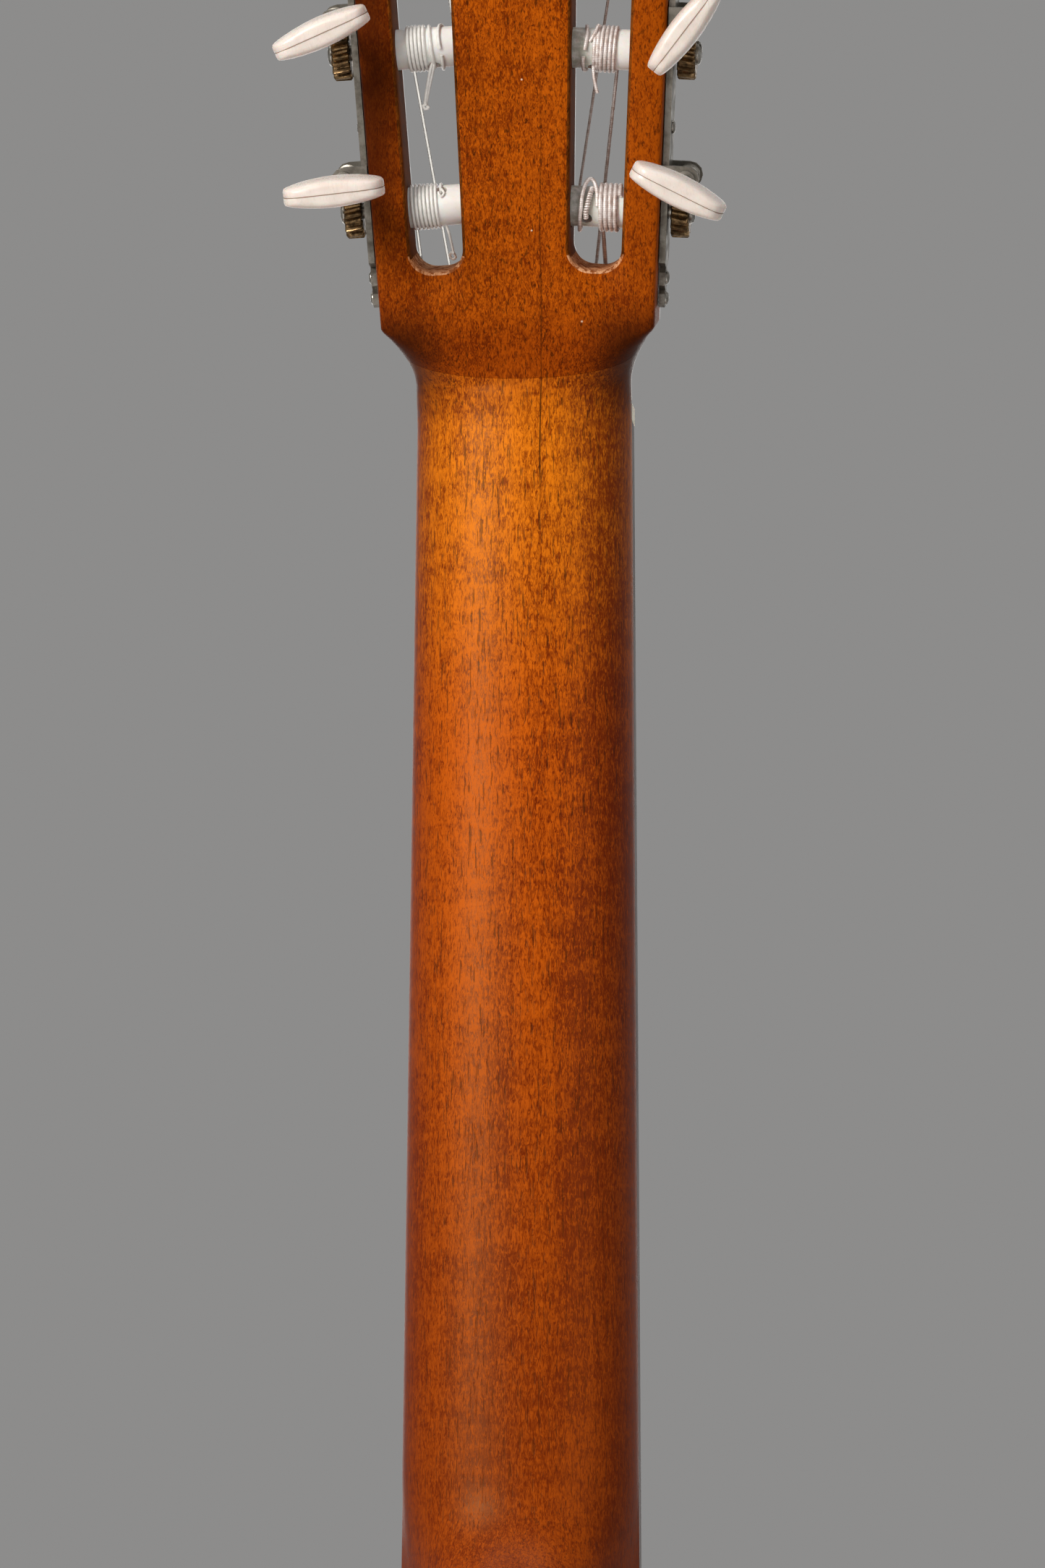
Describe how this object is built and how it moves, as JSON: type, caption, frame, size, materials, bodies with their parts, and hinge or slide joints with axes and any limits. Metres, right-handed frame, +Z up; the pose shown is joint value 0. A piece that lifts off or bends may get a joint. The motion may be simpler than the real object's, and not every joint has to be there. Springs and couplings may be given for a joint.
{
  "type": "classical guitar",
  "caption": "Classical guitar: hollow waisted body with a round soundhole, fretted neck and slotted head whose worm-gear tuners turn the string rollers.",
  "frame": {"origin": "middle of the flat end of the tail, halfway through the body's depth", "axes": "+Z up along the neck to the head, -Y out of the soundboard, +X to the treble side"},
  "size_m": [0.371, 0.1169, 0.9905],
  "materials": {
    "spruce": "gloss lacquer",
    "mahogany": "gloss lacquer",
    "block_wood": "bare",
    "fingerboard_wood": "oiled",
    "binding": "gloss lacquer",
    "rosette": "gloss lacquer",
    "bone": "satin",
    "nickel": "satin",
    "bronze": "tarnished",
    "roller_nylon": "satin",
    "button_plastic": "satin",
    "string_nylon": "clear",
    "string_wound": "satin"
  },
  "bodies": {
    "guitar": {"soundboard": "spruce", "rosette": "rosette", "back_plate": "mahogany", "rib_treble": "mahogany", "rib_bass": "mahogany", "end_graft": "binding", "top_binding": "binding", "back_binding": "binding", "neck_block": "block_wood", "tail_block": "block_wood", "upper_harmonic_bar": "spruce", "lower_harmonic_bar": "spruce", "fan_brace_1": "spruce", "fan_brace_2": "spruce", "fan_brace_3": "spruce", "fan_brace_4": "spruce", "fan_brace_5": "spruce", "back_brace_1": "block_wood", "back_brace_2": "block_wood", "back_brace_3": "block_wood", "neck_shaft": "mahogany", "headstock": "mahogany", "head_veneer": "fingerboard_wood", "heel_cap": "mahogany", "fingerboard": "fingerboard_wood", "nut": "bone", "bridge": "fingerboard_wood", "saddle": "bone", "string_1": "string_nylon", "string_2": "string_nylon", "string_3": "string_nylon", "string_4": "string_wound", "string_5": "string_wound", "string_6": "string_wound", "tuner_plate_treble": "nickel", "tuner_plate_bass": "nickel"},
    "button_1_body": {"worm_1": "nickel", "button_1": "button_plastic"},
    "roller_1_body": {"roller_1": "roller_nylon", "gear_1": "bronze"},
    "button_2_body": {"worm_2": "nickel", "button_2": "button_plastic"},
    "roller_2_body": {"roller_2": "roller_nylon", "gear_2": "bronze"},
    "button_3_body": {"worm_3": "nickel", "button_3": "button_plastic"},
    "roller_3_body": {"roller_3": "roller_nylon", "gear_3": "bronze"},
    "button_4_body": {"worm_4": "nickel", "button_4": "button_plastic"},
    "roller_4_body": {"roller_4": "roller_nylon", "gear_4": "bronze"},
    "button_5_body": {"worm_5": "nickel", "button_5": "button_plastic"},
    "roller_5_body": {"roller_5": "roller_nylon", "gear_5": "bronze"},
    "button_6_body": {"worm_6": "nickel", "button_6": "button_plastic"},
    "roller_6_body": {"roller_6": "roller_nylon", "gear_6": "bronze"}
  },
  "joints": [
    {"name": "button_1_turn", "type": "hinge", "parent": "guitar", "child": "button_1_body", "pos_m": [0.04121, -0.0253, 0.8708], "axis": [0, 0.9608, -0.2773], "continuous": true},
    {"name": "roller_1_turn", "type": "hinge", "parent": "guitar", "child": "roller_1_body", "pos_m": [0.03474, -0.02749, 0.86323], "axis": [0.9983, -0.0162, -0.056], "continuous": true},
    {"name": "button_2_turn", "type": "hinge", "parent": "guitar", "child": "button_2_body", "pos_m": [0.04343, -0.01473, 0.90744], "axis": [0, 0.9608, -0.2773], "continuous": true},
    {"name": "roller_2_turn", "type": "hinge", "parent": "guitar", "child": "roller_2_body", "pos_m": [0.03696, -0.01692, 0.89986], "axis": [0.9983, -0.0162, -0.056], "continuous": true},
    {"name": "button_3_turn", "type": "hinge", "parent": "guitar", "child": "button_3_body", "pos_m": [0.04566, -0.00415, 0.94408], "axis": [0, 0.9608, -0.2773], "continuous": true},
    {"name": "roller_3_turn", "type": "hinge", "parent": "guitar", "child": "roller_3_body", "pos_m": [0.03919, -0.00634, 0.9365], "axis": [0.9983, -0.0162, -0.056], "continuous": true},
    {"name": "button_4_turn", "type": "hinge", "parent": "guitar", "child": "button_4_body", "pos_m": [-0.04562, -0.00435, 0.94341], "axis": [0, 0.9608, -0.2773], "continuous": true},
    {"name": "roller_4_turn", "type": "hinge", "parent": "guitar", "child": "roller_4_body", "pos_m": [-0.03915, -0.00653, 0.93583], "axis": [-0.9983, -0.0162, -0.056], "continuous": true},
    {"name": "button_5_turn", "type": "hinge", "parent": "guitar", "child": "button_5_body", "pos_m": [-0.04339, -0.01492, 0.90677], "axis": [0, 0.9608, -0.2773], "continuous": true},
    {"name": "roller_5_turn", "type": "hinge", "parent": "guitar", "child": "roller_5_body", "pos_m": [-0.03692, -0.01711, 0.89919], "axis": [-0.9983, -0.0162, -0.056], "continuous": true},
    {"name": "button_6_turn", "type": "hinge", "parent": "guitar", "child": "button_6_body", "pos_m": [-0.04117, -0.0255, 0.87013], "axis": [0, 0.9608, -0.2773], "continuous": true},
    {"name": "roller_6_turn", "type": "hinge", "parent": "guitar", "child": "roller_6_body", "pos_m": [-0.0347, -0.02769, 0.86255], "axis": [-0.9983, -0.0162, -0.056], "continuous": true}
  ],
  "couplings": [
    {"joint": "roller_1_turn", "follows": "button_1_turn", "ratio": -0.066667},
    {"joint": "roller_2_turn", "follows": "button_2_turn", "ratio": -0.066667},
    {"joint": "roller_3_turn", "follows": "button_3_turn", "ratio": -0.066667},
    {"joint": "roller_4_turn", "follows": "button_4_turn", "ratio": -0.066667},
    {"joint": "roller_5_turn", "follows": "button_5_turn", "ratio": -0.066667},
    {"joint": "roller_6_turn", "follows": "button_6_turn", "ratio": -0.066667}
  ]
}
